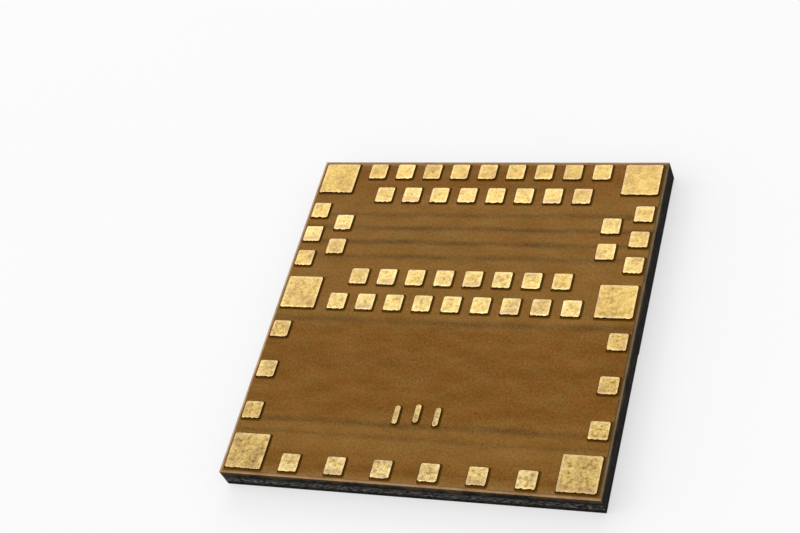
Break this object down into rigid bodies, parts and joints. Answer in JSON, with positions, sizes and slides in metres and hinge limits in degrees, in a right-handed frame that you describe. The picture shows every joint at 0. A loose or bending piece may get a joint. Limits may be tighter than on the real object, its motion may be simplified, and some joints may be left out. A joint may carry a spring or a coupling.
{
  "type": "bluetooth module",
  "caption": "Square surface-mount radio module with gold solder lands on a brown laminate, a black moulded body and a half-covering metal shield coat.",
  "frame": {"origin": "on the resting plane, under the middle of the square outline", "axes": "+Z out of the face with the solder lands, +Y towards the end with the dense field of lands and the shield coat, +X to the right"},
  "size_m": [0.008, 0.008, 0.0006],
  "materials": {
    "plated_land": "matt gold plating",
    "solder_resist": "satin amber-brown film",
    "laminate": "saw-cut glass laminate",
    "bare_copper": "etched copper",
    "solder": "satin",
    "silicon": "ground",
    "ceramic": "fired",
    "lid_metal": "satin",
    "shield_metal": "grainy matt",
    "mould_compound": "matt, fine grain"
  },
  "bodies": {
    "root": {"anchor_lands": "plated_land", "far_outer_lands": "plated_land", "far_inner_lands": "plated_land", "side_outer_lands": "plated_land", "side_inner_lands": "plated_land", "middle_inner_lands": "plated_land", "middle_outer_lands": "plated_land", "near_side_lands": "plated_land", "near_row_lands": "plated_land", "tuning_bars": "plated_land", "land_side_resist": "solder_resist", "laminate": "laminate", "ground_vias": "bare_copper", "part_side_resist": "solder_resist", "ground_copper": "bare_copper", "antenna_track": "bare_copper", "solder_pads": "bare_copper", "solder_joints": "solder", "radio_chip": "silicon", "chip_bumps": "solder", "fast_crystal_base": "ceramic", "fast_crystal_lid": "lid_metal", "slow_crystal_base": "ceramic", "slow_crystal_lid": "lid_metal", "capacitor_blocks": "ceramic", "capacitor_ends": "solder", "inductor_blocks": "ceramic", "inductor_ends": "solder", "matching_filter": "ceramic", "shield_wall": "shield_metal", "mould": "mould_compound", "shield_coat": "shield_metal"}
  },
  "joints": []
}
